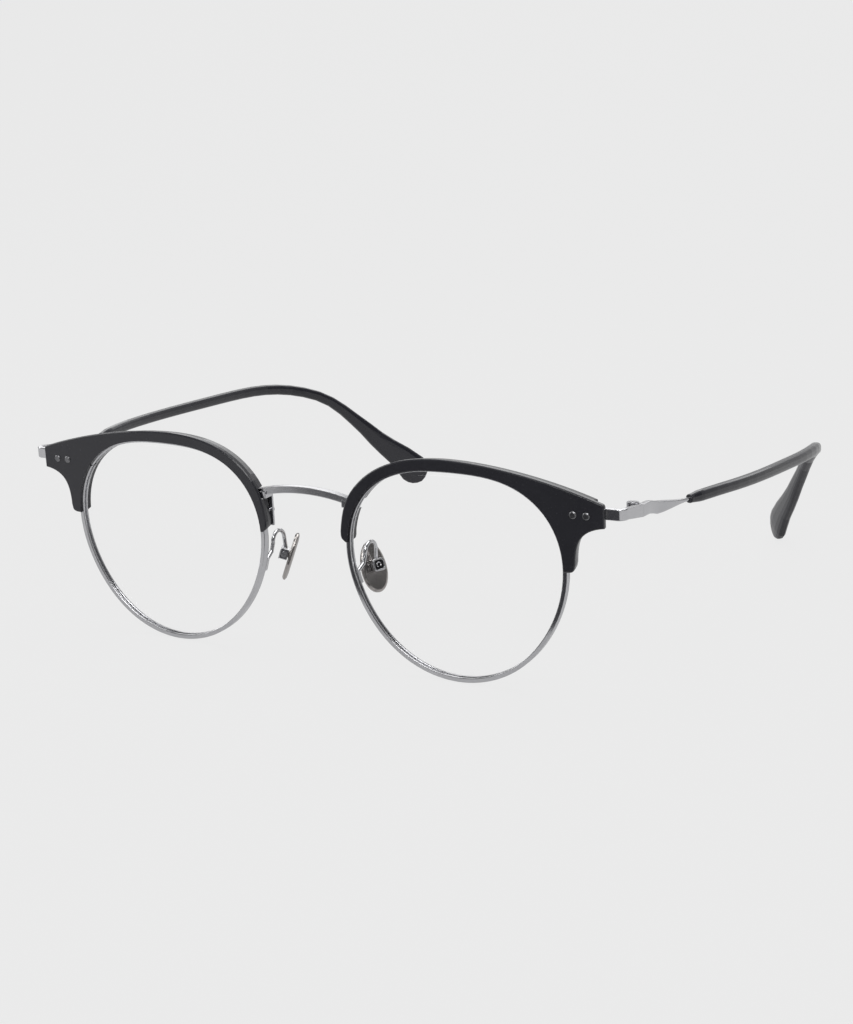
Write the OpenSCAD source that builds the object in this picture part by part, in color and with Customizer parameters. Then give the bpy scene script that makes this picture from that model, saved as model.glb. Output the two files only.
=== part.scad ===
// Browline glasses: metal rims under two half-frame brows, folding temples with curled-in tips.
// The front is drawn in its own frame: X towards the wearer's left, Y towards the face, Z up,
// with Z = 0 at the lens centres and Y = 0 on the front of the rims. The whole is then stood on
// the table, resting on both rims and the left tip.

/* [Lenses] */
// Widest measure of a lens
lens_w = 48.6; // [46:0.1:52]
// Tallest measure of a lens
lens_h = 44.6; // [42:0.1:48]
// Distance between the two lenses where they are nearest
bridge_gap = 21.4; // [19:0.1:24]
// How far the top of the lens is flattened and its foot drawn down
lens_drop = 1.0; // [0:0.1:1.6]
// Fullness of the lens at its four corners
lens_corner = 0.26; // [0:0.02:0.5]
// Radius of the lens surface
lens_curve = 130; // [100:1:200]
// Thickness of a lens
lens_t = 1.2; // [1:0.1:1.5]
// Turn of each lens plane round the face, in degrees
face_wrap = 1.2; // [0:0.1:3]

/* [Rims] */
// Width of the rim metal seen from the front
rim_t = 0.92; // [0.8:0.01:1.2]
// Depth of the rim metal from front to back
rim_d = 1.5; // [1.4:0.05:1.8]
// Depth of the groove that holds the lens
groove_d = 0.5; // [0.3:0.05:0.55]
// Width of that groove
groove_w = 0.6; // [0.4:0.05:0.8]
// Radius of the screw that closes a rim
rim_screw_r = 0.42; // [0.35:0.01:0.45]

/* [Brows] */
// Height of the brow above the lens edge
brow_rise = 2.25; // [2:0.05:3.2]
// The same at its nose end
brow_nose_rise = 1.65; // [1.4:0.05:2]
// Thickness of the layer in front of the rim
brow_lip = 0.6; // [0.5:0.05:0.9]
// Thickness of the layer behind the rim
brow_back = 1.1; // [0.9:0.05:1.5]
// Reach of the pointed end beyond the lens centre
brow_reach = 33.2; // [32.6:0.1:34.6]
// Length of the notch behind that end, where the metal comes out
brow_notch = 2.5; // [1.5:0.1:3]
// Height of the blunt outer end
brow_tip_h = 4.9; // [4.5:0.1:6]
// Height of the middle of the outer end above the lens centre
brow_tip_z = 15.1; // [14.6:0.1:15.8]
// Taper of the sides from front to back
brow_taper = 0.5; // [0.2:0.05:0.7]
// Bevel round the front edge
brow_bevel = 0.22; // [0.1:0.02:0.35]
// Height of the lower outer end above the lens centre
brow_foot_z = 2.8; // [1.5:0.1:4.5]
// Height of the lower nose end above the lens centre
brow_nose_z = 3.8; // [2.5:0.1:5]
// Radius of the two rivets in each brow
rivet_r = 0.55; // [0.4:0.05:0.65]
// Distance between those rivets
rivet_gap = 2.8; // [2.4:0.1:3.2]

/* [Bridge and nose pads] */
// Height of the bridge bar
bridge_h = 1.45; // [1.2:0.05:1.9]
// Depth of the bridge bar
bridge_d = 1.4; // [1.1:0.05:1.45]
// Rise of the bar between its ends
bridge_rise = 1.85; // [1:0.05:3]
// Height of the bar's ends above the lens centres
bridge_z = 11.85; // [11.4:0.05:13]
// Thickness of the pad wire
wire_d = 0.85; // [0.7:0.05:1.1]
// Length of a nose pad
pad_len = 11; // [9.5:0.1:14]
// Width of a nose pad
pad_w = 6.2; // [5.4:0.1:8]
// Thickness of a nose pad
pad_t = 1.1; // [0.9:0.05:1.2]
// Slant of a pad seen from the front, in degrees
pad_slant = 17.5; // [12:0.5:22]
// Turn of a pad seen from above, in degrees
pad_splay = 28; // [20:1:34]

/* [Endpieces and hinges] */
// Height of the metal strip at each outer end
strip_h = 2.3; // [2:0.05:2.6]
// Thickness of that strip
strip_t = 1.1; // [0.9:0.05:1.15]
// Distance from the middle of the front to the outside of the strip
strip_x = 72.1; // [71.4:0.1:74]
// Distance from the front of the rims back to the hinge pin
hinge_y = 10.6; // [10:0.1:13]
// Height of the middle of the hinge above the lens centres
hinge_z = 13.9; // [13:0.1:15]
// Lean of the hinge pin away from upright, in degrees
hinge_lean = 5; // [2:0.5:8]
// Outer radius of the hinge barrels
barrel_r = 1.25; // [1.15:0.05:1.4]
// Height of the three barrels together
barrel_h = 3; // [2.8:0.1:3.8]
// Radius of the hinge screw
screw_r = 0.55; // [0.4:0.05:0.6]

/* [Temples] */
// Length of a temple along its curve, from the hinge to the tip
temple_len = 149.4; // [142:0.2:154]
// How far the left temple is set low and outwards, and the right one high and inwards, in degrees
temple_set = 1.0; // [0:0.1:1.2]
// Length of bare metal before the sleeve
plate_len = 18; // [14:0.5:24]
// Outward lean of the temple behind the hinge, in degrees
bow_out = 15.8; // [10:0.1:17]
// Distance over which the temple curves back
bow_len = 62.8; // [56:0.2:75]
// Turn of the tip towards the head, in degrees
tip_in = 39.2; // [20:0.2:42]
// Turn of the tip downwards, in degrees
tip_down = 58; // [45:1:65]
// Distance from the hinge at which the ear bend starts
ear_start = 77.8; // [72:0.2:86]
// Height of the sleeve at its front end
sleeve_h = 2.35; // [2:0.05:2.8]
// Thickness of the sleeve at its front end
sleeve_t = 2.2; // [1.9:0.05:2.6]
// Height of the paddle at the tip
paddle_h = 9.0; // [7:0.1:10]
// Thickness of the paddle at the tip
paddle_t = 2.8; // [2.2:0.1:3.4]
// Height of the metal plate behind the hinge
plate_h = 2.6; // [2.4:0.1:3]
// Thickness of that plate
plate_t = 1.1; // [0.9:0.05:1.15]
// Thickness of the wire inside the sleeve
core_t = 0.7; // [0.6:0.05:0.9]

/* [Hidden] */

// Fits
glue_gap = 0.03; // between pieces that are pressed or glued together
run_gap = 0.04; // between a pin and what turns on it
joint_gap = 0.06; // between faces that pass each other when a hinge turns
eps = 0.01;

silver = "#c9c9cc";
black = "#2b2b2f";

// Depths behind the front of the rim
lip_y = -brow_lip;
brow_rear_y = rim_d + brow_back;
strip_y = 0.6;
strip_z = brow_tip_z + 0.2;

// Lens and rim outlines: the radius from the lens centre at each angle, 0 towards the temple
ring_points = 120;
lens_x = (lens_w + bridge_gap) / 2;
rim_out = rim_t - groove_d;
function lens_r(a) = (lens_w + lens_h) / 4 + lens_corner + (lens_w - lens_h) / 4 * cos(2 * a)
    + lens_drop * sin(3 * a) - lens_corner * cos(4 * a);
function on_ring(a, off) = (lens_r(a) + off) * [cos(a), sin(a)];
function ring_outline(off) = [for (i = [0:ring_points - 1]) on_ring(360 * i / ring_points, off)];

function smooth(t) = let (c = min(max(t, 0), 1)) c * c * (3 - 2 * c);
function mix(a, b, t) = a + (b - a) * t;
function unit(v) = v / norm(v);
function bezier(p, n) = [for (i = [0:n]) let (t = i / n, s = 1 - t)
    s * s * s * p[0] + 3 * s * s * t * p[1] + 3 * s * t * t * p[2] + t * t * t * p[3]];

// Brow outline seen from the front, from the nose end over the top to the outer end
nose_angle = 180 - asin(brow_nose_z / lens_r(171));
crown_angle = 95;
foot_angle = asin(brow_foot_z / lens_r(6));
brow_cover = 2.5; // material inside the lens edge, trimmed off by the opening
function rise_at(a) = mix(brow_rise, brow_nose_rise, smooth((a - 148) / 20));
brow_top_out = on_ring(crown_angle, brow_rise);
brow_tip_top = [brow_reach - 0.6, brow_tip_z + brow_tip_h / 2];
brow_tip_low = [brow_reach, brow_tip_z - brow_tip_h / 2];
foot_out = on_ring(foot_angle, 2.25);
end_off = 0.35; // the lower ends of the outline start this far outside the lens edge
nose_low = on_ring(nose_angle, end_off);
nose_out = on_ring(nose_angle - 4.5, brow_nose_rise);
brow_edge = concat(
    bezier([nose_low, mix(nose_low, nose_out, 0.55) + [-0.5, -0.5],
        nose_out + [0, -1.4], nose_out], 6),
    [for (i = [1:22]) let (a = mix(nose_angle - 4.5, crown_angle, i / 22)) on_ring(a, rise_at(a))],
    bezier([brow_top_out + [0.8, 0], brow_top_out + [11, 0],
        brow_tip_top + [-10.6, 3.6], brow_tip_top + [-0.8, 0.25]], 16),
    bezier([brow_tip_top, brow_tip_top + [0.5, -0.15],
        [brow_reach, brow_tip_top[1] - 0.6], [brow_reach, brow_tip_top[1] - 1.1]], 4),
    bezier([brow_tip_low, brow_tip_low + [-5, -0.8], [26.9, 9.5], foot_out + [0.1, 1.4]], 14),
    bezier([foot_out + [0, 1], foot_out + [-0.05, -0.15], foot_out + [-0.9, -0.2],
        on_ring(foot_angle, end_off)], 6)
);
brow_inner = [for (i = [0:40]) on_ring(mix(foot_angle, nose_angle, i / 40), -brow_cover)];

// Moves each outline point inwards along its own normal
function inset(p, d) = let (n = len(p)) [for (i = [0:n - 1])
    let (t = unit(p[(i + 1) % n] - p[(i + n - 1) % n])) p[i] + d * [t[1], -t[0]]];

// A closed skin through rings of points, each ring with the same number of points and running
// clockwise as seen from before the first ring
module loft(rings) {
    n = len(rings[0]);
    m = len(rings);
    points = [for (r = rings) each r];
    caps = [[for (i = [0:n - 1]) i], [for (i = [n - 1:-1:0]) (m - 1) * n + i]];
    walls = [for (j = [0:m - 2], i = [0:n - 1]) let (k = (i + 1) % n)
        each [[j * n + i, (j + 1) * n + k, j * n + k], [j * n + i, (j + 1) * n + i, (j + 1) * n + k]]];
    polyhedron(points, concat(caps, walls), convexity = 6);
}

// A ring of points round a centre: width along w, height along h, boxy as power grows
function section(c, w, h, width, height, power, n) = [for (i = [0:n - 1])
    let (a = -360 * (i + 0.5) / n, e = 2 / power)
    c + w * width / 2 * sign(cos(a)) * pow(abs(cos(a)), e)
      + h * height / 2 * sign(sin(a)) * pow(abs(sin(a)), e)];

module rod(a, b, d) {
    v = b - a;
    translate(a) rotate([0, acos(v[2] / norm(v)), atan2(v[1], v[0])])
        cylinder(h = norm(v), d = d, $fn = 32);
}

// The outline lies in the lens plane and runs from one depth to another
module slab(from, to) {
    rotate([90, 0, 0]) translate([0, 0, -to]) linear_extrude(to - from) children();
}
module lens_plane() {
    translate([lens_x, 0, 0]) rotate([0, 0, face_wrap]) children();
}
module ring_slab(off, from, to) {
    slab(from, to) polygon(ring_outline(off));
}
function from_lens_plane(u, y, v) =
    [lens_x + u * cos(face_wrap) - y * sin(face_wrap), u * sin(face_wrap) + y * cos(face_wrap), v];

// Temple centre line: heading is the turn towards the head, droop the turn downwards
path_steps = 75;
path_start = [strip_x - plate_t / 2, hinge_y, hinge_z];
lean_in = 0.7; // heading between the bow and the ear bend
leaf_len = 3.4; // the plate stays straight along the hinge leaf
curl_start = ear_start - 10;
curl_len = 61;
function set_at(s) = temple_set * smooth((s - leaf_len) / 8);
// k is 1 for the left temple and -1 for the right one, which is mirrored afterwards
function heading(s, k) = -bow_out * smooth((s - leaf_len + 0.6) / 6) - k * set_at(s)
    + (bow_out + lean_in) * smooth(s / bow_len) + tip_in * smooth((s - curl_start) / curl_len);
function droop(s, k) = hinge_lean + k * set_at(s)
    + tip_down * smooth((s - ear_start) / (temple_len - ear_start + 4));
function along(s, k) = let (a = heading(s, k), b = droop(s, k))
    [-sin(a) * cos(b), cos(a) * cos(b), -sin(b)];
function outward(s, k) = let (a = heading(s, k)) [cos(a), sin(a), 0];
function upward(s, k) = let (a = heading(s, k), b = droop(s, k))
    [-sin(a) * sin(b), cos(a) * sin(b), cos(b)];
path_step = temple_len / path_steps;
function temple_path(k) = [for (i = 0, p = path_start; i <= path_steps;
    p = p + path_step * along((i + 0.5) * path_step, k), i = i + 1) p];
left_path = temple_path(1);
right_path = temple_path(-1);
function at(s, k) = let (n = min(max(s / path_step, 0), path_steps - 0.001), i = floor(n),
    path = k > 0 ? left_path : right_path) mix(path[i], path[i + 1], n - i);
// The plate dips below the curve. The paddle first sags below it and then flares forward above it
plate_dip = 0.7;
paddle_sag = 1.5;
paddle_flare = 2.9;
function sway(s) = paddle_flare * smooth((s - temple_len + 19.4) / 16)
    - paddle_sag * smooth((s - temple_len + 41.4) / 17)
    - plate_dip * smooth((s - leaf_len) / 4) * (1 - smooth((s - plate_len + 10) / 24));
function temple_ring(s, k, width, height, power, n) = section(at(s, k) + upward(s, k) * sway(s),
    outward(s, k), upward(s, k), width, height, power, n);

// Sleeve: slim at the front, a paddle at the tip, closed by a rounded end
paddle_len = 38;
paddle_power = 2.2; // the paddle widens faster towards its end
end_round = 5.5;
sleeve_grow = 0.25;
function paddle_at(s) =
    pow(min(max((s - temple_len + paddle_len + 3.4) / paddle_len, 0), 1), paddle_power);
function closing(s) = let (t = max(0, (s - temple_len + end_round) / end_round)) sqrt(max(0, 1 - t * t));
function opening(s) = 0.75 + 0.25 * smooth((s - plate_len) / 4);
function sleeve_height(s) = opening(s) * (mix(mix(sleeve_h, sleeve_h + sleeve_grow,
    (s - plate_len) / (ear_start - plate_len)), paddle_h, paddle_at(s)) * closing(s) + eps);
function sleeve_width(s) = opening(s) * (mix(mix(sleeve_t, sleeve_t + sleeve_grow,
    (s - plate_len) / (ear_start - plate_len)), paddle_t, paddle_at(s)) * mix(0.35, 1, closing(s)));
sleeve_s = concat([for (d = [0, 0.8, 1.8, 3, 4.2]) plate_len + d],
    [for (i = [1:27]) mix(plate_len + 4.2, temple_len - end_round, i / 27)],
    [for (t = [0.35, 0.62, 0.82, 0.94, 0.995]) temple_len - end_round + end_round * t]);
function sleeve_rings(k) = [for (s = sleeve_s)
    temple_ring(s, k, sleeve_width(s), sleeve_height(s), 2.8, 16)];

// Core: a plate behind the hinge that narrows to a wire
core_end = temple_len - 14;
plate_full = 6; // distance from the hinge at which the plate starts to narrow
function core_blend(s) = smooth((s - plate_full) / (plate_len - 1 - plate_full));
core_s = concat([joint_gap / 2, leaf_len],
    [for (i = [1:9]) mix(leaf_len, plate_len, i / 9)],
    [for (i = [1:20]) mix(plate_len, core_end, i / 20)]);
function core_rings(k, grow, stations) = [for (s = stations) let (b = core_blend(s))
    temple_ring(s, k, mix(plate_t, core_t, b) + 2 * grow, mix(plate_h, core_t + 0.1, b) + 2 * grow,
        mix(12, 2, b), 12)];

// Standing: the front leans until the rims and the lower tip share the table, and the origin is
// on the table under the middle of the whole
lean_guess = 3.4;
left_points = [for (r = sleeve_rings(1)) each r];
right_points = [for (r = sleeve_rings(-1)) each r];
tip_heights = [for (p = left_points) p[2] + p[1] * tan(lean_guess)];
tip_low = left_points[search(min(tip_heights), tip_heights)[0]];
rim_low = [0, 0, -(lens_h / 2 + lens_drop + rim_out)];
stand_lean = atan((rim_low[2] - tip_low[2]) / (tip_low[1] - rim_low[1]));
lens_sag = pow((lens_w + lens_h) / 4, 2) / 2 / lens_curve;
lens_front_y = rim_d / 2 - lens_t / 2 - lens_sag;
whole_front = (lens_front_y + lens_curve) * cos(face_wrap) * cos(stand_lean) - lens_curve;
whole_back = max([for (p = concat(left_points, right_points))
    p[1] * cos(stand_lean) - p[2] * sin(stand_lean)]);
whole_left = max([for (p = left_points) p[0]]);
whole_right = max([for (p = right_points) p[0]]);
module standing() {
    translate([(whole_right - whole_left) / 2, -(whole_front + whole_back) / 2,
        -rim_low[2] * cos(stand_lean)]) rotate([stand_lean, 0, 0]) children();
}
module left() {
    standing() children();
}
module right() {
    standing() mirror([1, 0, 0]) children();
}
module both_sides() {
    left() children();
    right() children();
}

// Rim: a grooved ring, split at the closing blocks
block_split_z = strip_z - strip_h / 2;
split = 0.24;
module rim() {
    color(silver) lens_plane() difference() {
        ring_slab(rim_out, 0, rim_d);
        ring_slab(-groove_d, -1, rim_d + 1);
        ring_slab(glue_gap, rim_d / 2 - groove_w / 2, rim_d / 2 + groove_w / 2);
        translate([lens_w / 3, -1, block_split_z - split]) cube([lens_w / 3, rim_d + 2, split]);
    }
}

// Lens: a curved shell with a ridge that fills the groove
module lens() {
    color("#dfe8ec", 0.3) lens_plane() union() {
        intersection() {
            ring_slab(-groove_d - glue_gap, -6, 6);
            translate([0, lens_front_y + lens_curve, 0]) difference() {
                sphere(r = lens_curve, $fn = 180);
                sphere(r = lens_curve - lens_t, $fn = 180);
            }
        }
        difference() {
            ring_slab(0, rim_d / 2 - groove_w / 2 + glue_gap, rim_d / 2 + groove_w / 2 - glue_gap);
            ring_slab(-groove_d - 1, -1, rim_d + 1);
        }
    }
}

// Closing blocks: two half barrels on the rim, drawn together by a screw
block_out = brow_reach - 7.8;
block_h = strip_h;
rim_screw_u = block_out - 1.0;
block_y = 0.1;
block_in = lens_w / 2 - 5.5;
block_low = block_split_z - split - block_h;
pair_h = 2 * block_h + split;
rim_screw_y = rim_d / 2 + 0.1;
screw_well_r = 0.8;
module block_box(grow) {
    translate([block_in, block_y - grow, block_low - grow])
        cube([block_out - block_in + grow, strip_y + strip_t - block_y + grow, pair_h + 2 * grow]);
}
module rim_blocks() {
    color(silver) lens_plane() difference() {
        block_box(0);
        ring_slab(rim_out, -1, rim_d + 3);
        translate([block_in, -1, block_split_z - split]) cube([lens_w, rim_d + 3, split]);
        translate([rim_screw_u, rim_screw_y, block_low - 1])
            cylinder(r = rim_screw_r + run_gap, h = pair_h + 2, $fn = 32);
    }
}
module rim_screw() {
    color(silver) lens_plane() translate([rim_screw_u, rim_screw_y, block_low]) {
        cylinder(r = rim_screw_r, h = pair_h + 0.1, $fn = 32);
        translate([0, 0, pair_h + 0.02]) cylinder(r1 = 0.62, r2 = 0.5, h = 0.3, $fn = 32);
    }
}

// Brow: tapered blank, opened for the lens, grooved for the rim and milled for the metal
rivet_z = strip_z - 0.4;
rivet_us = [brow_reach - 3.7 - rivet_gap, brow_reach - 3.7];
bridge_slot_low = bridge_z - bridge_h / 2 - 0.3;
bridge_slot_h = bridge_h + 0.3 + bridge_rise * 0.3; // the bar rises towards the nose
module brow_blank() {
    outline = concat(brow_edge, brow_inner);
    spare = 0.05; // drawn past the front and back faces, then cut flat
    rings = [[brow_bevel + spare, lip_y - spare], [0, lip_y + brow_bevel], [0.1, strip_y],
        [brow_taper, brow_rear_y - 0.2], [brow_taper + 0.2 + spare, brow_rear_y + spare]];
    difference() {
        loft([for (r = rings) [for (p = inset(outline, r[0])) [p[0], r[1], p[1]]]]);
        translate([-lens_w, lip_y - 5, -lens_h]) cube([2 * lens_w, 5, 2 * lens_h]);
        translate([-lens_w, brow_rear_y, -lens_h]) cube([2 * lens_w, 5, 2 * lens_h]);
    }
}
module brow() {
    channel_h = strip_h + 0.14;
    color(black) lens_plane() difference() {
        brow_blank();
        ring_slab(-0.1, lip_y - 1, 1);
        ring_slab(rim_out + glue_gap, -glue_gap, rim_d + glue_gap);
        ring_slab(-groove_d + 0.02, rim_d - 0.5, brow_rear_y + 1);
        translate([block_out - 1, strip_y, strip_z - channel_h / 2]) cube([20, 5, channel_h]);
        translate([brow_reach - brow_notch, strip_y, brow_tip_z - 5]) cube([10, 5, 10]);
        block_box(0.1);
        translate([rim_screw_u, rim_screw_y, block_split_z])
            cylinder(r = screw_well_r, h = block_h + 0.7, $fn = 32);
        translate([-lens_w, bridge_y - glue_gap - 0.05, bridge_slot_low])
            cube([lens_w / 2 + 6, 5, bridge_slot_h]);
        rivet_holes();
        translate([tab_u, brow_rear_y + 0.1, tab_z])
            rotate([90, 0, 0]) cylinder(r = tab_screw_r, h = 1.05, $fn = 32);
    }
}

module rivet_holes() {
    for (u = rivet_us) translate([u, 0, rivet_z]) rotate([90, 0, 0])
        cylinder(r = rivet_r + run_gap, h = 9, center = true, $fn = 32);
}
module brow_rivet_pair() {
    grip = strip_y - lip_y + strip_t;
    head_r = rivet_r + 0.22;
    color(silver) lens_plane() for (u = rivet_us) translate([u, lip_y, rivet_z]) rotate([-90, 0, 0]) {
        cylinder(r = rivet_r, h = grip + 0.3, $fn = 32);
        translate([0, 0, -0.28]) cylinder(r1 = rivet_r, r2 = head_r, h = 0.16, $fn = 32);
        translate([0, 0, -0.12]) cylinder(r = head_r, h = 0.12, $fn = 32);
        translate([0, 0, grip]) cylinder(r = head_r, h = 0.35, $fn = 32);
    }
}

// Bridge: an arched bar let into both rims, with a tab behind each brow
bridge_y = rim_d / 2 - bridge_d / 2;
bridge_half = lens_x - lens_w / 2 + 2;
bridge_r = (bridge_half * bridge_half + bridge_rise * bridge_rise) / 2 / bridge_rise;
tab_screw_r = 0.4;
tab_w = 1.6;
tab_u = -lens_w / 2 - 0.55;
tab_z = brow_nose_z + 4.2; // height of the tab's screw
tab_low = brow_nose_z + 0.8;
tab_t = 0.5;
module bridge() {
    half_angle = asin(bridge_half / bridge_r);
    color(silver) difference() {
        union() {
            translate([0, 0, bridge_z + bridge_rise - bridge_r]) rotate([90, 0, 0])
                translate([0, 0, -bridge_y - bridge_d]) rotate([0, 0, 90 - half_angle])
                rotate_extrude(angle = 2 * half_angle, $fn = 240)
                    translate([bridge_r - bridge_h / 2, 0]) square([bridge_h, bridge_d]);
            for (m = [0, 1]) mirror([m, 0, 0]) lens_plane() {
                translate([tab_u - tab_w / 2, bridge_y + 0.2, bridge_z - bridge_h / 2])
                    cube([tab_w, brow_rear_y + tab_t - bridge_y - 0.2, bridge_h]);
                translate([tab_u - tab_w / 2, brow_rear_y, tab_low])
                    cube([tab_w, tab_t, bridge_z + bridge_h / 2 - tab_low]);
            }
        }
        for (m = [0, 1]) mirror([m, 0, 0]) lens_plane() {
            ring_slab(rim_out, -1, rim_d + glue_gap);
            translate([tab_u, brow_rear_y - 1, tab_z]) rotate([-90, 0, 0])
                cylinder(r = tab_screw_r + run_gap, h = 3, $fn = 32);
        }
    }
}
module brow_screw() {
    color(silver) lens_plane() translate([tab_u, brow_rear_y + tab_t, tab_z]) rotate([90, 0, 0]) {
        cylinder(r = tab_screw_r, h = tab_t + 0.85, $fn = 32);
        translate([0, 0, -0.3]) cylinder(r = 0.75, h = 0.3, $fn = 32);
    }
}

// Nose pads: the pad frame has its face towards -X and its length along Z
pad_centre = [10.35, 9.55, -4.75];
pad_back_tilt = 10;
box_in = pad_t / 2 + 0.2; // box mouth behind the middle of the pad
box_d = 1.7;
box_w = 2.0;
box_h = 2.4;
box_wall = 0.35;
box_z = 0.3;
box_side_gap = 0.08;
pad_pin_x = box_in + 0.9;
pad_pin_r = 0.3;
post_end = pad_pin_x + 0.3;
post_h = 1.3;
module pad_frame() {
    translate(pad_centre) rotate([-pad_back_tilt, 0, 0]) rotate([0, -pad_slant, 0])
        rotate([0, 0, -pad_splay]) children();
}
function pad_point(p) = let (
    q = [p[0] * cos(pad_splay) + p[1] * sin(pad_splay), p[1] * cos(pad_splay) - p[0] * sin(pad_splay)],
    r = [q[0] * cos(pad_slant) - p[2] * sin(pad_slant), q[0] * sin(pad_slant) + p[2] * cos(pad_slant)])
    pad_centre + [r[0], q[1] * cos(pad_back_tilt) + r[1] * sin(pad_back_tilt),
        r[1] * cos(pad_back_tilt) - q[1] * sin(pad_back_tilt)];
function pad_outline(grow, n) = [for (i = [0:n - 1]) let (a = -360 * i / n)
    [(pad_w / 2 - grow) * cos(a) * (1 - 0.1 * sin(a)), (pad_len / 2 - grow) * sin(a)]];
module nose_pad() {
    rings = [[0.5, pad_t / 2], [0, pad_t / 5], [0, -pad_t / 6], [0.55, 0.12 - pad_t / 2],
        [1.6, -pad_t / 2]];
    color("#b9b2ac") pad_frame() difference() {
        union() {
            loft([for (r = rings) [for (p = pad_outline(r[0], 32)) [r[1], p[0], p[1]]]]);
            translate([0, -box_w / 2 + box_wall + box_side_gap, box_z - post_h / 2])
                cube([post_end, box_w - 2 * (box_wall + box_side_gap), post_h]);
        }
        translate([pad_pin_x, 0, box_z]) rotate([90, 0, 0])
            cylinder(r = pad_pin_r + run_gap, h = 4, center = true, $fn = 32);
    }
}
module pad_screw() {
    color(silver) pad_frame() translate([pad_pin_x, 0, box_z]) rotate([90, 0, 0]) {
        cylinder(r = pad_pin_r, h = box_w + 0.1, center = true, $fn = 32);
        translate([0, 0, box_w / 2 + 0.02]) cylinder(r = 0.62, h = 0.3, $fn = 32);
    }
}

// Pad arm: a foot on the back of the rim, a swan neck of wire and a box for the pad
foot_t = 0.8;
foot_from = 186.5; // angles round the lens between which the foot lies on the rim
foot_to = 193.5;
foot_top = on_ring(foot_from + 1.2, 0);
arch_r = 2.25;
neck_x = lens_x + foot_top[0] + 0.15;
neck_y = 4.5;
neck_z = -0.4;
bend_d = wire_d + 0.06; // the wire is a little thicker where it is bent
module pad_arm() {
    neck_low = from_lens_plane(foot_top[0], rim_d + foot_t / 2, foot_top[1]);
    neck_mid = [neck_x, neck_y - 0.8, neck_z - 1.6];
    neck_top = [neck_x, neck_y, neck_z];
    back_top = [neck_x, neck_y + 2 * arch_r, neck_z];
    box_top = pad_point([box_in + box_d / 2, 0, box_z + box_h / 2 - box_wall / 2]);
    foot_outer = [for (i = [0:4]) on_ring(mix(foot_from, foot_to, i / 4), rim_out - 0.04)];
    foot_inner = [for (i = [4:-1:0]) on_ring(mix(foot_from, foot_to, i / 4), 0.04 - groove_d)];
    color(silver) difference() {
        union() {
            lens_plane() slab(rim_d, rim_d + foot_t) polygon(concat(foot_outer, foot_inner));
            rod(neck_low, neck_mid, wire_d);
            rod(neck_mid, neck_top, wire_d);
            for (bend = [neck_mid, neck_top, back_top]) translate(bend) sphere(d = bend_d, $fn = 32);
            translate([neck_x, neck_y + arch_r, neck_z]) rotate([0, -90, 0]) rotate([0, 0, -90])
                rotate_extrude(angle = 180, $fn = 64) translate([arch_r, 0]) circle(d = wire_d, $fn = 32);
            rod(back_top, box_top, wire_d);
            pad_frame() translate([box_in, -box_w / 2, box_z - box_h / 2]) cube([box_d, box_w, box_h]);
        }
        pad_frame() {
            translate([box_in - 3, -box_w / 2 + box_wall, box_z - box_h / 2 + box_wall])
                cube([box_d + 3 - box_wall, box_w - 2 * box_wall, box_h - 2 * box_wall]);
            translate([pad_pin_x, 0, box_z]) rotate([90, 0, 0])
                cylinder(r = pad_pin_r + glue_gap, h = 4, center = true, $fn = 32);
        }
    }
}

// Endpiece: a strip from the upper closing block, round the corner and back to the hinge
corner_r = 1.35;
strip_points = 9;
strip_mid = strip_y + strip_t / 2;
strip_start = from_lens_plane(block_out, strip_mid, strip_z);
corner_x = strip_x - strip_t / 2 - corner_r;
corner_front = from_lens_plane(corner_x - lens_x, strip_mid, strip_z);
function strip_ring(c, turn, up, height) = let (out = [sin(turn), -cos(turn), 0],
    w = strip_t / 2, h = height / 2, b = 0.12)
    [for (q = [[w, b - h], [w - b, -h], [b - w, -h], [-w, b - h],
        [-w, h - b], [b - w, h], [w - b, h], [w, h - b]]) c + out * q[0] + up * q[1]];
lean_up = [0, sin(hinge_lean), cos(hinge_lean)];
module endpiece() {
    corner = [for (i = [0:strip_points]) let (a = mix(face_wrap, 90, i / strip_points))
        strip_ring([corner_front[0] + corner_r * sin(a), corner_front[1] + corner_r * (1 - cos(a)),
            strip_z], a, [0, 0, 1], strip_h)];
    end = [strip_x - strip_t / 2, hinge_y - joint_gap / 2, hinge_z];
    tail = [for (t = [0.5, 0.75, 1]) let (c = mix(
        [end[0], corner_front[1] + corner_r, strip_z], end, t))
        strip_ring(c, 90, mix([0, 0, 1], lean_up, t), mix(strip_h, plate_h, t))];
    color(silver) difference() {
        loft(concat([strip_ring(strip_start, face_wrap, [0, 0, 1], strip_h)], corner, tail));
        lens_plane() rivet_holes();
    }
}

// Hinge: two barrels on the endpiece, one on the temple, a screw through all three
leaf_t = 0.5;
leaf_h = 2;
middle_h = barrel_h / 3;
module hinge_frame() {
    translate([strip_x - strip_t - barrel_r, hinge_y, hinge_z]) rotate([-hinge_lean, 0, 0]) children();
}
module barrel(from, to) {
    translate([0, 0, from]) cylinder(r = barrel_r, h = to - from, $fn = 64);
}
module hinge_front() {
    color(silver) hinge_frame() difference() {
        union() {
            barrel(middle_h / 2 + joint_gap / 2, barrel_h / 2);
            barrel(-barrel_h / 2, -middle_h / 2 - joint_gap / 2);
            translate([barrel_r - leaf_t, -leaf_len - 0.6, -leaf_h / 2])
                cube([leaf_t, leaf_len + 0.6 - joint_gap, leaf_h]);
            for (z = [middle_h / 2 + joint_gap / 2, -leaf_h / 2])
                translate([0, -barrel_r, z])
                    cube([barrel_r, barrel_r, (leaf_h - middle_h - joint_gap) / 2]);
        }
        translate([0, 0, -middle_h / 2 - joint_gap / 2])
            cylinder(r = barrel_r + joint_gap, h = middle_h + joint_gap, $fn = 64);
        translate([0, 0, -barrel_h]) cylinder(r = screw_r + glue_gap, h = 2 * barrel_h, $fn = 48);
        translate([0, 0, barrel_h / 2 - 0.45]) cylinder(r = screw_r + 0.38, h = 1, $fn = 48);
    }
}
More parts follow.
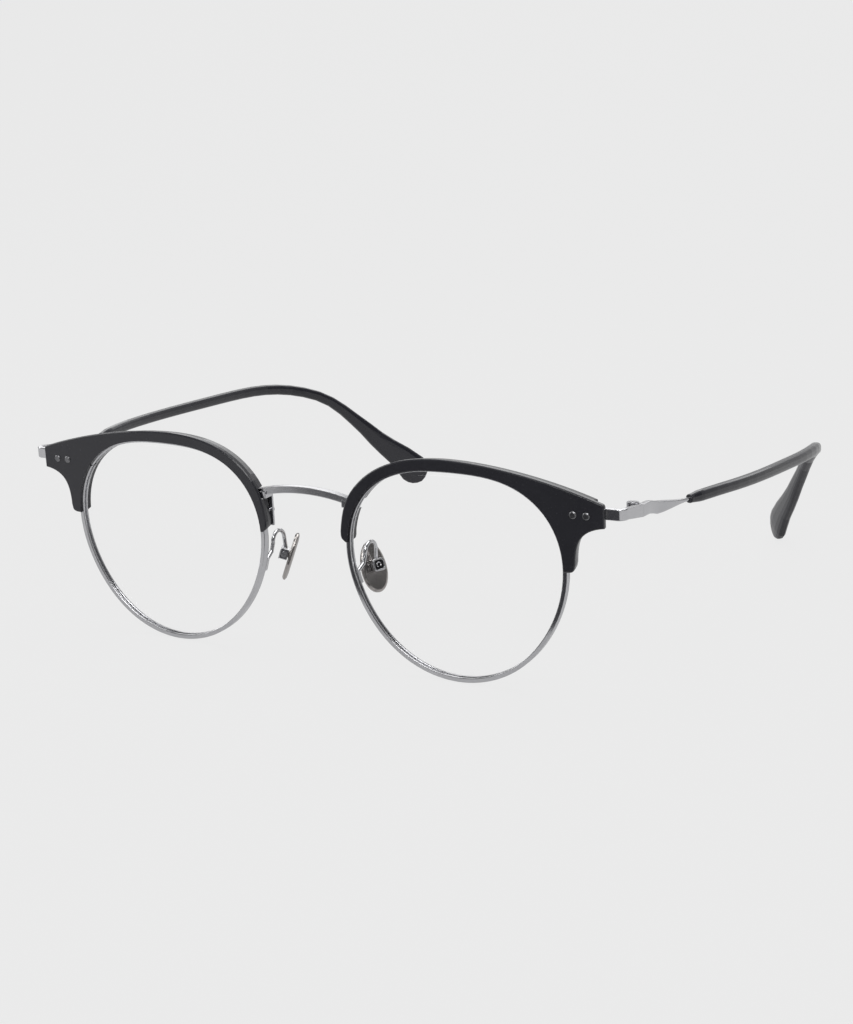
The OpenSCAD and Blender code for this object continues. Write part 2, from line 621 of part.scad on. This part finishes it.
module hinge_temple() {
    color(silver) hinge_frame() difference() {
        union() {
            barrel(-middle_h / 2, middle_h / 2);
            translate([barrel_r - leaf_t, joint_gap, -leaf_h / 2])
                cube([leaf_t, leaf_len - joint_gap, leaf_h]);
            translate([0, 0, -middle_h / 2]) cube([barrel_r, barrel_r, middle_h]);
        }
        for (z = [middle_h / 2 + eps, -barrel_h - middle_h / 2 - eps])
            translate([0, 0, z]) cylinder(r = barrel_r + joint_gap, h = barrel_h, $fn = 64);
        translate([0, 0, -barrel_h]) cylinder(r = screw_r + run_gap, h = 2 * barrel_h, $fn = 48);
    }
}
module hinge_screw() {
    color(silver) hinge_frame() difference() {
        union() {
            translate([0, 0, -barrel_h / 2 + 0.1]) cylinder(r = screw_r, h = barrel_h - 0.4, $fn = 48);
            translate([0, 0, barrel_h / 2 - 0.4]) cylinder(r = screw_r + 0.33, h = 0.45, $fn = 48);
        }
        translate([-2, -0.13, barrel_h / 2 - 0.15]) cube([4, 0.26, 1]);
    }
}

module temple_core(k) {
    color(silver) loft(core_rings(k, 0, core_s));
}
module temple_sleeve(k) {
    inner_s = [for (i = [1:20]) mix(plate_len, core_end, i / 20)];
    bore_s = concat([plate_len - 2], inner_s, [core_end + 0.3]);
    color(black) difference() {
        loft(sleeve_rings(k));
        loft(core_rings(k, glue_gap, bore_s));
    }
}

left() rim();  // rim_left
right() rim();  // rim_right
left() lens();  // lens_left
right() lens();  // lens_right
left() brow();  // brow_left
right() brow();  // brow_right
standing() bridge();
left() pad_arm();  // pad_arm_left
right() pad_arm();  // pad_arm_right
left() nose_pad();  // nose_pad_left
right() nose_pad();  // nose_pad_right
both_sides() pad_screw();  // pad_screws
left() rim_blocks();  // rim_blocks_left
right() rim_blocks();  // rim_blocks_right
both_sides() rim_screw();  // rim_screws
left() endpiece();  // endpiece_left
right() endpiece();  // endpiece_right
both_sides() brow_rivet_pair();  // brow_rivets
both_sides() brow_screw();  // brow_screws
left() hinge_front();  // hinge_front_left
right() hinge_front();  // hinge_front_right
left() hinge_temple();  // hinge_temple_left
right() hinge_temple();  // hinge_temple_right
both_sides() hinge_screw();  // hinge_screws
left() temple_core(1);  // temple_core_left
right() temple_core(-1);  // temple_core_right
left() temple_sleeve(1);  // temple_sleeve_left
right() temple_sleeve(-1);  // temple_sleeve_right
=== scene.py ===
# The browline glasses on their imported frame: finishes, camera, light and floor.
import math

import bpy
from mathutils import Matrix, Vector


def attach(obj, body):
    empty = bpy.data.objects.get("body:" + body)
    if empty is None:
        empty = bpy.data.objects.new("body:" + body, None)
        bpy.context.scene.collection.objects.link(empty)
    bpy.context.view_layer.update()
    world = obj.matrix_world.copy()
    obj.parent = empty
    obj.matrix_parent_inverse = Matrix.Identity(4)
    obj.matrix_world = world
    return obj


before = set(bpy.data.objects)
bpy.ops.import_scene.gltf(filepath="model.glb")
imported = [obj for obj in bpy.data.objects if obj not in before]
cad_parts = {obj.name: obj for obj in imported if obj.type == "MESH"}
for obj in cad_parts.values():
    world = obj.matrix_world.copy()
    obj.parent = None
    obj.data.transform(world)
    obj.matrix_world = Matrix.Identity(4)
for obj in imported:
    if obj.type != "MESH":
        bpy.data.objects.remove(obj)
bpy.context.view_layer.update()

# How the front, drawn upright round its own middle, stands on the table (degrees and millimetres)
standing = {"lean": 3.03827, "place": (-0.866139, -69.6417, 23.6867)}
stand = (Matrix.Translation(Vector(standing["place"]))
         @ Matrix.Rotation(math.radians(standing["lean"]), 4, "X"))


class Wire:
    # a node socket that does arithmetic
    def __init__(self, tree, socket):
        self.tree = tree
        self.socket = socket

    def combine(self, operation, first, second):
        node = self.tree.nodes.new("ShaderNodeMath")
        node.operation = operation
        for slot, value in zip(node.inputs, (first, second)):
            if isinstance(value, Wire):
                self.tree.links.new(value.socket, slot)
            else:
                slot.default_value = value
        return Wire(self.tree, node.outputs[0])

    def __add__(self, other):
        return self.combine("ADD", self, other)

    def __radd__(self, other):
        return self.combine("ADD", other, self)

    def __sub__(self, other):
        return self.combine("SUBTRACT", self, other)

    def __rsub__(self, other):
        return self.combine("SUBTRACT", other, self)

    def __mul__(self, other):
        return self.combine("MULTIPLY", self, other)

    def __rmul__(self, other):
        return self.combine("MULTIPLY", other, self)

    def over(self, low, high):
        # 0 below low, 1 above high
        node = self.tree.nodes.new("ShaderNodeMapRange")
        node.interpolation_type = "SMOOTHSTEP"
        self.tree.links.new(self.socket, node.inputs["Value"])
        node.inputs["From Min"].default_value = low
        node.inputs["From Max"].default_value = high
        return Wire(self.tree, node.outputs["Result"])


class Nodes:
    # makes the nodes of one tree
    def __init__(self, tree):
        self.tree = tree

    def node(self, kind, settings=None, inputs=None, out=0):
        node = self.tree.nodes.new(kind)
        for key, value in (settings or {}).items():
            setattr(node, key, value)
        for key, value in (inputs or {}).items():
            if isinstance(value, Wire):
                self.tree.links.new(value.socket, node.inputs[key])
            else:
                node.inputs[key].default_value = value
        return Wire(self.tree, node.outputs[out])

    def backdropShare(self, seen, mirrored):
        # how much of the pale background each kind of ray meets
        camera = self.node("ShaderNodeLightPath", out="Is Camera Ray")
        sent = self.node("ShaderNodeLightPath", out="Is Transmission Ray")
        glossy = self.node("ShaderNodeLightPath", out="Is Glossy Ray")
        return (camera + sent) * seen + glossy * mirrored

    def mix(self, share, first, second, target):
        mixer = self.tree.nodes.new("ShaderNodeMixShader")
        for slot, socket in zip(mixer.inputs, (share.socket, first, second)):
            self.tree.links.new(socket, slot)
        self.tree.links.new(mixer.outputs[0], target)


class Finish(Nodes):
    def __init__(self, name):
        self.material = bpy.data.materials.new(name)
        self.material.use_nodes = True
        super().__init__(self.material.node_tree)
        self.shader = next(n for n in self.tree.nodes if n.type == "BSDF_PRINCIPLED")
        self.output = next(n for n in self.tree.nodes if n.type == "OUTPUT_MATERIAL")

    def place(self):
        return self.node("ShaderNodeTexCoord", out="Object")

    def grain(self, scale, detail=3.0, stretch=(1, 1, 1)):
        spot = self.node("ShaderNodeMapping", inputs={"Vector": self.place(), "Scale": stretch})
        return self.node("ShaderNodeTexNoise", inputs={"Vector": spot, "Scale": scale, "Detail": detail})

    def blend(self, share, first, second):
        node = self.tree.nodes.new("ShaderNodeMix")
        node.data_type = "RGBA"
        self.tree.links.new(share.socket, node.inputs["Factor"])
        for slot, value in ((6, first), (7, second)):
            if isinstance(value, Wire):
                self.tree.links.new(value.socket, node.inputs[slot])
            else:
                node.inputs[slot].default_value = (*value, 1)
        return Wire(self.tree, node.outputs[2])

    def edges(self, radius, low, high):
        # where the rounded normal leaves the true one, the piece has a corner
        soft = self.node("ShaderNodeBevel", {"samples": 6}, {"Radius": radius})
        true = self.node("ShaderNodeNewGeometry", out="Normal")
        same = self.node("ShaderNodeVectorMath", {"operation": "DOT_PRODUCT"},
                         {0: soft, 1: true}, out="Value")
        return (1 - same).over(low, high)

    def relief(self, height, strength, distance, radius=None):
        inputs = {"Height": height, "Strength": strength, "Distance": distance}
        if radius:
            inputs["Normal"] = self.node("ShaderNodeBevel", {"samples": 8}, {"Radius": radius})
        return self.node("ShaderNodeBump", inputs=inputs)

    def feed(self, name, wire):
        self.tree.links.new(wire.socket, self.shader.inputs[name])

    def fix(self, **values):
        for name, value in values.items():
            self.shader.inputs[name.replace("_", " ")].default_value = value


metalWear = {"edges": (0.00018, 0.02, 0.3), "edgeShare": 0.6, "scratchRough": 0.04,
             "edgePolish": 0.02, "bump": 0.00002}


def metalFinish(name, values):
    made = Finish(name)
    cloud = made.grain(values["cloudScale"], 2.0)
    scratch = made.grain(values["scratchScale"], 4.0, values["scratchStretch"])
    worn = made.edges(*metalWear["edges"])
    tone = made.blend(cloud, values["dark"], values["light"])
    made.feed("Base Color", made.blend(worn * metalWear["edgeShare"], tone, values["edge"]))
    rough = values["rough"] + cloud * values["roughSpread"] + scratch * metalWear["scratchRough"]
    made.feed("Roughness", rough - worn * metalWear["edgePolish"])
    made.feed("Normal", made.relief(scratch, values["relief"], metalWear["bump"], values["bevel"]))
    made.fix(Metallic=1.0)
    return made.material


blackWear = {"edges": (0.00025, 0.02, 0.35), "edgeShare": 0.5, "cloudRough": 0.08, "bump": 0.00004,
             "dustScale": 2600.0, "dustLimits": (0.62, 0.78), "dustTone": (0.4, 0.4, 0.42),
             "dustShare": 0.05, "dustRough": 0.12, "dustCoat": 0.15}


def blackFinish(name, values):
    made = Finish(name)
    cloud = made.grain(values["cloudScale"], 3.0)
    dust = made.grain(blackWear["dustScale"], 2.0).over(*blackWear["dustLimits"])
    wave = made.grain(values["waveScale"], 1.0)
    worn = made.edges(*blackWear["edges"])
    tone = made.blend(cloud, values["dark"], values["light"])
    tone = made.blend(worn * blackWear["edgeShare"], tone, values["edge"])
    tone = made.blend(dust * blackWear["dustShare"], tone, blackWear["dustTone"])
    made.feed("Base Color", tone)
    rough = values["rough"] + cloud * blackWear["cloudRough"] + dust * blackWear["dustRough"]
    made.feed("Roughness", rough)
    made.feed("Normal", made.relief(wave, values["relief"], blackWear["bump"], values["bevel"]))
    made.feed("Coat Weight", values["coat"] - dust * blackWear["dustCoat"])
    made.fix(Coat_Roughness=values["coatRough"], Specular_IOR_Level=values["gloss"])
    return made.material


def lensFinish(name, values):
    made = Finish(name)
    smear = made.grain(values["smearScale"], 3.0)
    through = made.node("ShaderNodeBsdfTransparent", inputs={"Color": (1, 1, 1, 1)})
    made.feed("Base Color", made.blend(smear, values["dark"], values["light"]))
    made.feed("Roughness", values["rough"] + smear.over(0.5, 0.8) * values["smearRough"])
    made.feed("Normal", made.relief(smear, values["relief"], values["bump"]))
    made.fix(Metallic=1.0)
    slanted = made.node("ShaderNodeFresnel", inputs={"IOR": values["coating"]})
    share = slanted * values["shine"] + smear.over(0.55, 0.8) * values["smearShine"]
    made.mix(share, through.socket, made.shader.outputs[0], made.output.inputs["Surface"])
    return made.material


def paint(material, *names):
    for name in names:
        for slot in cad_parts[name].material_slots:
            slot.material = material


# Rims: thin polished metal
rimLook = {"dark": (0.6, 0.6, 0.62), "light": (0.78, 0.78, 0.8), "edge": (0.93, 0.93, 0.95),
           "rough": 0.09, "roughSpread": 0.06, "cloudScale": 150.0, "scratchScale": 900.0,
           "scratchStretch": (1, 6, 1), "relief": 0.008, "bevel": 0.00032}
rimMetal = metalFinish("rimPolish", rimLook)
paint(rimMetal, "rim_left", "rim_right", "rim_blocks_left", "rim_blocks_right")
print("rims")

# Bridge, arms, corners and temple plates: brighter metal
plateLook = {"dark": (0.68, 0.68, 0.7), "light": (0.88, 0.88, 0.9), "edge": (0.95, 0.95, 0.96),
             "rough": 0.1, "roughSpread": 0.08, "cloudScale": 120.0, "scratchScale": 700.0,
             "scratchStretch": (1, 0.15, 4), "relief": 0.1, "bevel": 0.0002}
plateMetal = metalFinish("platePolish", plateLook)
paint(plateMetal, "bridge", "pad_arm_left", "pad_arm_right", "endpiece_left", "endpiece_right",
      "temple_core_left", "temple_core_right")
print("bridge and plates")

# Hinges and screws: duller turned steel
hingeLook = {"dark": (0.4, 0.4, 0.42), "light": (0.6, 0.6, 0.62), "edge": (0.85, 0.85, 0.87),
             "rough": 0.26, "roughSpread": 0.12, "cloudScale": 300.0, "scratchScale": 2400.0,
             "scratchStretch": (1, 1, 8), "relief": 0.15, "bevel": 0.00008}
hingeMetal = metalFinish("hingeSteel", hingeLook)
paint(hingeMetal, "hinge_front_left", "hinge_front_right", "hinge_temple_left", "hinge_temple_right")
screwLook = dict(hingeLook, light=(0.7, 0.7, 0.72), rough=0.18, bevel=0.00006)
paint(metalFinish("screwSteel", screwLook), "pad_screws", "rim_screws", "brow_screws", "hinge_screws")
rivetLook = dict(hingeLook, dark=(0.2, 0.2, 0.21), light=(0.34, 0.34, 0.35), bevel=0.00006)
paint(metalFinish("rivetSteel", rivetLook), "brow_rivets")
print("hinges and screws")

# Brows: glossy black plastic, tumbled edges
browLook = {"dark": (0.034, 0.034, 0.041), "light": (0.043, 0.043, 0.051), "edge": (0.07, 0.07, 0.075),
            "rough": 0.16, "cloudScale": 160.0, "waveScale": 240.0, "relief": 0.04, "bevel": 0.00025,
            "gloss": 0.45, "coat": 0.3, "coatRough": 0.08}
paint(blackFinish("browGloss", browLook), "brow_left", "brow_right")
sleeveLook = {"dark": (0.02, 0.02, 0.027), "light": (0.028, 0.028, 0.038), "edge": (0.05, 0.05, 0.055),
              "rough": 0.13, "cloudScale": 110.0, "waveScale": 180.0, "relief": 0.04, "bevel": 0.0003,
              "gloss": 0.5, "coat": 0.5, "coatRough": 0.06}
paint(blackFinish("sleeveGloss", sleeveLook), "temple_sleeve_left", "temple_sleeve_right")
print("brows and sleeves")

# Nose pads: satin metal, a little warmer than the rims
padLook = {"dark": (0.46, 0.435, 0.42), "light": (0.6, 0.57, 0.55), "edge": (0.8, 0.77, 0.75),
           "rough": 0.15, "roughSpread": 0.06, "cloudScale": 420.0, "scratchScale": 5200.0,
           "scratchStretch": (1, 1, 1), "relief": 0.06, "bevel": 0.00025}
paint(metalFinish("padSatin", padLook), "nose_pad_left", "nose_pad_right")

# Pad boxes: a raised frame round a well, with a dark piece in the well as painted shade of the open box,
# and the curled end of the pad's post inside
shadeWellLook = {"dark": (0.03, 0.03, 0.034), "light": (0.07, 0.07, 0.075), "edge": (0.3, 0.3, 0.32),
            "rough": 0.3, "roughSpread": 0.1, "cloudScale": 900.0, "scratchScale": 4000.0,
            "scratchStretch": (1, 1, 1), "relief": 0.1, "bevel": 0.00005}
padBox = {"centre": (10.35, 9.55, -4.75), "tilt": -10, "slant": -17.5, "splay": -28,
          "face": 2.45, "middle": 0.3, "width": 2.8, "height": 2.7, "wall": 0.34,
          "proud": 0.16, "shoulder": 0.7, "sunk": 0.04, "outerRound": 0.12, "innerRound": 0.1,
          "wellLap": 0.06, "wellBack": 0.03, "wellFront": 0.02}
curl = {"reach": 0.6, "wire": 0.26, "ahead": 0.07, "steps": 14, "start": -60, "sweep": 300,
        "innerShare": 0.65, "sides": 10}


def padPlace(side):
    turned = Matrix.Translation(Vector(padBox["centre"]))
    for key, axis in (("tilt", "X"), ("slant", "Y"), ("splay", "Z")):
        turned = turned @ Matrix.Rotation(math.radians(padBox[key]), 4, axis)
    return Matrix.Scale(0.001, 4) @ stand @ Matrix.Scale(side, 4, (1, 0, 0)) @ turned


def rounded(width, height, depth, steps=32, power=5.0):
    loop = []
    for step in range(steps):
        turn = 2 * math.pi * step / steps
        across, along = math.cos(turn), math.sin(turn)
        loop.append((depth, math.copysign(abs(across) ** (2 / power), across) * width / 2,
                     padBox["middle"] + math.copysign(abs(along) ** (2 / power), along) * height / 2))
    return loop


def loopPiece(name, loops, place, flipped, body, material, closed=False):
    count = len(loops[0])
    points = [place @ Vector(point) for loop in loops for point in loop]
    faces = []
    for row in range(len(loops) - 1):
        for step in range(count):
            after = (step + 1) % count
            low, high = row * count, (row + 1) * count
            faces.append((low + step, low + after, high + after, high + step))
    if closed:
        faces.append(tuple((len(loops) - 1) * count + step for step in range(count)))
        faces.append(tuple(reversed(range(count))))
    if flipped:
        faces = [tuple(reversed(face)) for face in faces]
    mesh = bpy.data.meshes.new(name)
    mesh.from_pydata(points, [], faces)
    for face in mesh.polygons:
        face.use_smooth = len(face.vertices) == 4
    mesh.materials.append(material)
    piece = bpy.data.objects.new(name, mesh)
    bpy.context.collection.objects.link(piece)
    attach(piece, body)


def boxPieces(word, side):
    place = padPlace(side)
    face, wall, proud = padBox["face"], padBox["wall"], padBox["proud"]
    wide, tall = padBox["width"], padBox["height"]
    high, low = wide - 2 * wall, tall - 2 * wall
    shoulder, sunk = face + proud * padBox["shoulder"], face - padBox["sunk"]
    outer, soft, lap = padBox["outerRound"], padBox["innerRound"], padBox["wellLap"]
    ring = [rounded(wide, tall, sunk), rounded(wide, tall, shoulder),
            rounded(wide - outer, tall - outer, face + proud),
            rounded(high + soft, low + soft, face + proud),
            rounded(high, low, shoulder), rounded(high, low, sunk), rounded(wide, tall, sunk)]
    flipped = side < 0
    loopPiece("pad_box_frame_" + word, ring, place, flipped, "front", plateMetal)
    # the well piece: a dark closed plate inside the frame, painted shade
    well = [rounded(high + lap, low + lap, face - padBox["wellBack"]),
            rounded(high + lap, low + lap, face + padBox["wellFront"])]
    loopPiece("pad_box_shade_well_" + word, well, place, flipped, "front", shadeWellFinish, closed=True)
    coil = []
    thick = curl["wire"] / 2
    circle = [2 * math.pi * k / curl["sides"] for k in range(curl["sides"])]
    for step in range(curl["steps"] + 1):
        done = step / curl["steps"]
        turn = math.radians(curl["start"] + curl["sweep"] * done)
        reach = curl["reach"] * (curl["innerShare"] + (1 - curl["innerShare"]) * done)
        outward = Vector((0, math.cos(turn), math.sin(turn)))
        middle = Vector((face + curl["ahead"], 0, padBox["middle"])) + outward * reach
        coil.append([middle + outward * thick * math.cos(a) + Vector((thick * math.sin(a), 0, 0))
                     for a in circle])
    loopPiece("pad_post_curl_" + word, coil, place, not flipped, "front", plateMetal,
              closed=True)


# dark finish for the well piece: painted shade inside the pad box
shadeWellFinish = metalFinish("wellPaintedShade", shadeWellLook)
boxPieces("left", 1)
boxPieces("right", -1)

# Lenses: clear, with a faint coated reflection
lensLook = {"dark": (0.9, 0.92, 0.93), "light": (0.97, 0.98, 0.98), "rough": 0.02, "smearScale": 90.0,
            "smearRough": 0.05, "smearShine": 0.001, "relief": 0.02, "bump": 0.00002,
            "coating": 1.15, "shine": 0.2}
paint(lensFinish("lensClear", lensLook), "lens_left", "lens_right")
print("pads and lenses")

# Camera: solved from the photograph, given in the frame of the front and then stood on the table
photo = {"yaw": 29.38, "pitch": 16.61, "roll": -2.66, "distance": 404.2, "target": (29.24, 0, 12.13),
         "focal": 2004.0, "height": 1024}
yaw, pitch, roll = (math.radians(photo[k]) for k in ("yaw", "pitch", "roll"))
back = Vector((math.sin(yaw) * math.cos(pitch), -math.cos(yaw) * math.cos(pitch), math.sin(pitch)))
right = Vector((math.cos(yaw), math.sin(yaw), 0))
up = back.cross(right)
across = right * math.cos(roll) + up * math.sin(roll)
upward = up * math.cos(roll) - right * math.sin(roll)
eye = Vector(photo["target"]) + back * photo["distance"]
pose = Matrix((across, upward, back)).transposed().to_4x4()
pose.translation = eye
pose = stand @ pose
pose.translation = pose.translation / 1000
camera = bpy.data.objects.new("photoView", bpy.data.cameras.new("photoView"))
camera.data.sensor_fit = "VERTICAL"
camera.data.sensor_height = 36
camera.data.lens = photo["focal"] * 36 / photo["height"]
camera.data.clip_start = 0.01
camera.matrix_world = pose
bpy.context.collection.objects.link(camera)
bpy.context.scene.camera = camera
print("camera")


def softBox(name, spot, aim, size, power):
    data = bpy.data.lights.new(name, "AREA")
    data.shape = "RECTANGLE"
    data.size, data.size_y = size
    data.energy = power
    lamp = bpy.data.objects.new(name, data)
    spot, aim = Vector(spot), Vector(aim)
    facing = (spot - aim).to_track_quat("Z", "Y").to_matrix().to_4x4()
    lamp.matrix_world = Matrix.Translation(spot) @ facing
    bpy.context.collection.objects.link(lamp)


softBox("topSoft", (0, 0.1, 0.9), (0, 0, 0), (0.9, 0.8), 4.6)
softBox("frontSoft", (0.25, -0.95, 0.85), (0, 0, 0.02), (0.8, 0.4), 5.0)
softBox("leftSoft", (-0.8, -0.15, 0.4), (0, 0, 0.03), (0.5, 0.5), 1.6)
softBox("rearSoft", (-0.3, 0.95, 0.42), (0, 0, 0.03), (1.5, 0.4), 1.6)


# A dark card on the floor in front, met by glossy rays only, gives metal and brow their dark sides
darkCard = {"outline": ((-0.072, -0.32), (0.11, -0.32), (0.11, -0.09),
                        (-0.022, -0.105), (-0.04, -0.15), (-0.072, -0.15)),
            "height": 0.0006, "tone": (0.055, 0.055, 0.06, 1)}


def cardPiece():
    mesh = bpy.data.meshes.new("darkCard")
    corners = [(x, y, darkCard["height"]) for x, y in darkCard["outline"]]
    mesh.from_pydata(corners, [], [tuple(range(len(corners)))])
    card = bpy.data.objects.new("darkCard", mesh)
    bpy.context.collection.objects.link(card)
    made = Finish("cardPaper")
    made.fix(Base_Color=darkCard["tone"], Roughness=0.9, Specular_IOR_Level=0.1)
    mesh.materials.append(made.material)
    card.visible_camera = card.visible_shadow = False
    card.visible_diffuse = card.visible_transmission = False


cardPiece()

# World: a dim even light, and pale where the camera looks past the floor
roomLook = {"light": (0.8, 0.81, 0.83, 1), "strength": 0.1, "pale": (0.82, 0.82, 0.82, 1), "seen": 1.0,
            "mirrored": 0.03}


def roomLight():
    world = bpy.data.worlds.new("room")
    bpy.context.scene.world = world
    world.use_nodes = True
    made = Nodes(world.node_tree)
    plain = made.node("ShaderNodeBackground",
                      inputs={"Color": roomLook["light"], "Strength": roomLook["strength"]})
    pale = made.node("ShaderNodeBackground", inputs={"Color": roomLook["pale"], "Strength": 1.0})
    output = next(n for n in made.tree.nodes if n.type == "OUTPUT_WORLD")
    share = made.backdropShare(roomLook["seen"], roomLook["mirrored"])
    made.mix(share, plain.socket, pale.socket, output.inputs["Surface"])


roomLight()

# Floor: a pale sheet that rises behind the glasses
floorLook = {"half": 1.6, "steps": 24, "dark": (0.44, 0.44, 0.445), "light": (0.47, 0.47, 0.475),
             "glow": (0.86, 0.86, 0.86, 1), "seen": 0.93, "mirrored": 0.3, "depth": -0.0002,
             "bend": 0.35, "slope": 1.6}


def floorPiece():
    half, steps = floorLook["half"], floorLook["steps"]
    points = []
    faces = []
    for row in range(steps + 1):
        for column in range(steps + 1):
            x = (column / steps - 0.5) * 2 * half
            y = (row / steps - 0.5) * 2 * half
            rise = max(0.0, y - floorLook["bend"] * half) ** 2 * floorLook["slope"]
            points.append((x, y, floorLook["depth"] + rise))
    for row in range(steps):
        for column in range(steps):
            a = row * (steps + 1) + column
            faces.append((a, a + 1, a + steps + 2, a + steps + 1))
    mesh = bpy.data.meshes.new("tableTop")
    mesh.from_pydata(points, [], faces)
    for face in mesh.polygons:
        face.use_smooth = True
    table = bpy.data.objects.new("tableTop", mesh)
    bpy.context.collection.objects.link(table)
    made = Finish("tablePaper")
    grain = made.grain(60.0, 4.0)
    made.feed("Base Color", made.blend(grain, floorLook["dark"], floorLook["light"]))
    made.feed("Roughness", 0.8 + grain * 0.1)
    made.feed("Normal", made.relief(made.grain(900.0), 0.05, 0.00005))
    made.fix(Specular_IOR_Level=0.2)
    glow = made.node("ShaderNodeEmission", inputs={"Color": floorLook["glow"]})
    share = made.backdropShare(floorLook["seen"], floorLook["mirrored"])
    made.mix(share, made.shader.outputs[0], glow.socket, made.output.inputs["Surface"])
    mesh.materials.append(made.material)


floorPiece()
bpy.context.scene.view_settings.view_transform = "Standard"
print("light and table")
